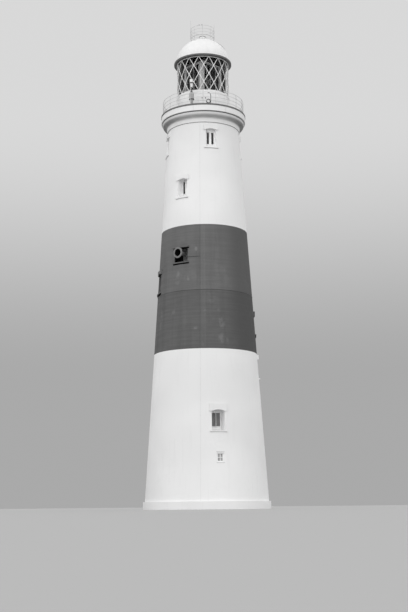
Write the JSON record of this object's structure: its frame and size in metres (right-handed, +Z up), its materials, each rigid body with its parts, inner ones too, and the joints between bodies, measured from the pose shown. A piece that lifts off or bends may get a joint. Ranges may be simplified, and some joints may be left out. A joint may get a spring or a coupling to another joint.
{
  "type": "half-scale model of a lighthouse",
  "caption": "Tall tapering round masonry lighthouse with a dark band, corbelled gallery, diamond-paned lantern and white dome, made at half size.",
  "frame": {"origin": "centre of the tower's underside, on its axis at ground level", "axes": "+Z up the tower; -Y towards the viewer in the picture; +X to the viewer's right"},
  "size_m": [5.04, 5.5833, 20.51],
  "materials": {
    "painted_masonry_white": "white masonry paint on smooth render",
    "painted_masonry_dark": "dark masonry paint on smooth render",
    "deck_asphalt": "dark weatherproof deck",
    "floor_stone": "plain paving",
    "step_stone": "worn stone",
    "joinery_white": "white gloss paint",
    "door_dark": "dark gloss paint",
    "sill_paint": "white masonry paint",
    "window_glass": "clear, dark room behind",
    "horn_paint": "grey paint",
    "horn_panel_paint": "grey paint",
    "rail_paint": "white gloss paint",
    "lamp_metal": "grey paint",
    "lamp_lens": "frosted white",
    "davit_metal": "dark paint",
    "floodlight_metal": "dark paint",
    "lantern_white": "white gloss paint",
    "lattice_paint": "white gloss paint",
    "lantern_glass": "clear",
    "eaves_dark": "dark paint",
    "dome_white": "white gloss paint",
    "lens_metal": "dark paint",
    "lens_frame_white": "pale paint",
    "lens_glass": "dark prisms"
  },
  "bodies": {
    "root": {"plinth_course": "painted_masonry_white", "base_wall": "painted_masonry_white", "lower_wall": "painted_masonry_white", "middle_wall": "painted_masonry_white", "band_lower_wall": "painted_masonry_dark", "band_upper_wall": "painted_masonry_dark", "upper_wall": "painted_masonry_white", "service_room_wall": "painted_masonry_white", "neck_course": "painted_masonry_white", "cavetto_course": "painted_masonry_white", "gallery_fascia": "painted_masonry_white", "gallery_deck": "deck_asphalt", "ground_floor": "floor_stone", "service_room_floor": "floor_stone", "entrance_steps": "step_stone", "entrance_frame": "joinery_white", "entrance_door": "door_dark", "window_sills": "sill_paint", "window_heads": "sill_paint", "service_window_frames": "joinery_white", "stair_window_frames": "joinery_white", "service_window_glass": "window_glass", "stair_window_glass": "window_glass", "fog_horn": "horn_paint", "fog_horn_panel": "horn_panel_paint", "fog_horn_surround": "painted_masonry_dark", "gallery_railing": "rail_paint", "crown_guard_rail": "rail_paint", "dome_handrail": "rail_paint", "crown_aerials": "rail_paint", "gallery_lamp_pedestal": "lamp_metal", "gallery_lamp_head": "lamp_lens", "gallery_davit": "davit_metal", "gallery_floodlight": "floodlight_metal", "murette_wall": "lantern_white", "murette_door": "lantern_white", "lantern_cill": "lantern_white", "lantern_lattice": "lattice_paint", "lantern_glass": "lantern_glass", "eaves_gutter": "eaves_dark", "dome": "dome_white", "dome_ventilator": "dome_white", "lens_pedestal": "lens_metal", "lens_frame": "lens_frame_white", "lens_panels": "lens_glass"}
  },
  "joints": []
}
